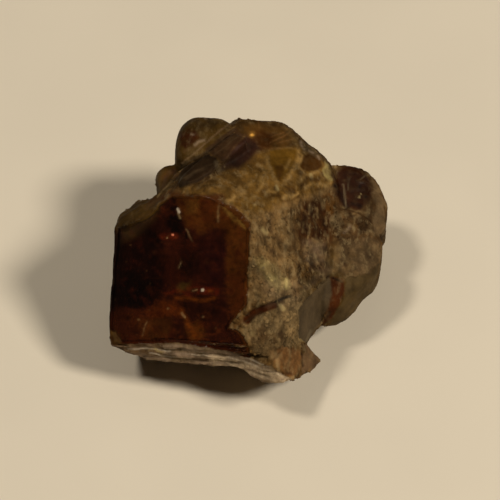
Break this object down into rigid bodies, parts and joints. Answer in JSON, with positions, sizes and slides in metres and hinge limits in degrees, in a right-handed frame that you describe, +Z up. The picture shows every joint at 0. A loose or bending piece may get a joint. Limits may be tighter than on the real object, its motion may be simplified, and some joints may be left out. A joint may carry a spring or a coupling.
{
  "type": "bastnasite crystal",
  "caption": "Rough reddish-brown mineral specimen: a stubby hexagonal crystal with a glassy dark face, a grainy crust and smaller rounded crystals grown on, lying on its broken underside.",
  "frame": {"origin": "on the resting plane, under the centre of the bounding box", "axes": "+Z up off the broken underside that it lies on; the glassy prism face looks up and towards -Y; the two rounded tablets stand out at +X"},
  "size_m": [0.0238, 0.025, 0.0158],
  "materials": {
    "crystal": "vitreous to resinous, deep red-brown and nearly opaque on the prism face, matte and grainy tan-brown on the broken flanks"
  },
  "bodies": {
    "root": {"bastnasite_crystal": "crystal"}
  },
  "joints": []
}
